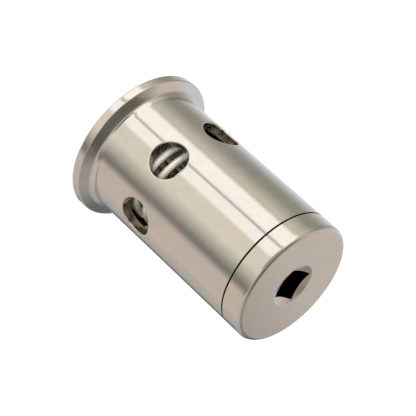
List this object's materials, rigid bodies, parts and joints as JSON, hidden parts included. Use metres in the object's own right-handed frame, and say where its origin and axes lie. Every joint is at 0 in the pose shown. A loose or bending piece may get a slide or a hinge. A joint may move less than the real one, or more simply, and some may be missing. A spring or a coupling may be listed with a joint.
{
  "type": "relief valve",
  "caption": "Small spring-loaded pressure relief valve: turned stainless barrel with a clamp ferrule inlet, side outlet ports and a screw cap with a square key socket.",
  "frame": {"origin": "centre of the ferrule's mating face, which is the lowest face", "axes": "+Z along the valve from the mating face to the adjusting cap; -Y through the middle of one outlet port"},
  "size_m": [0.0506, 0.0504, 0.0725],
  "materials": {
    "turned_stainless": "fine turned, satin to bright",
    "cap_stainless": "fine turned rim, matt face",
    "inner_stainless": "turned",
    "spring_wire": "drawn stainless wire",
    "seal_rubber": "matt black elastomer",
    "slip_plastic": "white low-friction plastic"
  },
  "bodies": {
    "valve_body": {"valve_body": "turned_stainless", "relief_spring": "spring_wire"},
    "poppet": {"poppet_disc": "inner_stainless", "poppet_stem": "inner_stainless", "poppet_seal": "seal_rubber", "seal_retainer": "inner_stainless", "lock_washer": "spring_wire", "retainer_screw": "inner_stainless"},
    "spring_carrier": {"upper_spring_seat": "inner_stainless", "stem_bush": "slip_plastic", "thrust_washer": "slip_plastic"},
    "cap": {"adjusting_cap": "cap_stainless"}
  },
  "joints": [
    {"name": "poppet_lift", "type": "slide", "parent": "valve_body", "child": "poppet", "axis": [0, 0, 1], "range_m": [0, 0.006], "stiffness_N_per_m": 1130, "springref_m": -0.018, "deforming": ["relief_spring"]},
    {"name": "adjust_travel", "type": "slide", "parent": "valve_body", "child": "spring_carrier", "axis": [0, 0, 1], "range_m": [0, 0.006], "deforming": ["relief_spring"]},
    {"name": "cap_turn", "type": "hinge", "parent": "spring_carrier", "child": "cap", "pos_m": [0, 0, 0.055], "axis": [0, 0, 1], "range_deg": [0, 1440]}
  ],
  "couplings": [
    {"joint": "cap_turn", "follows": "adjust_travel", "rad_per_m": 4188.8}
  ]
}
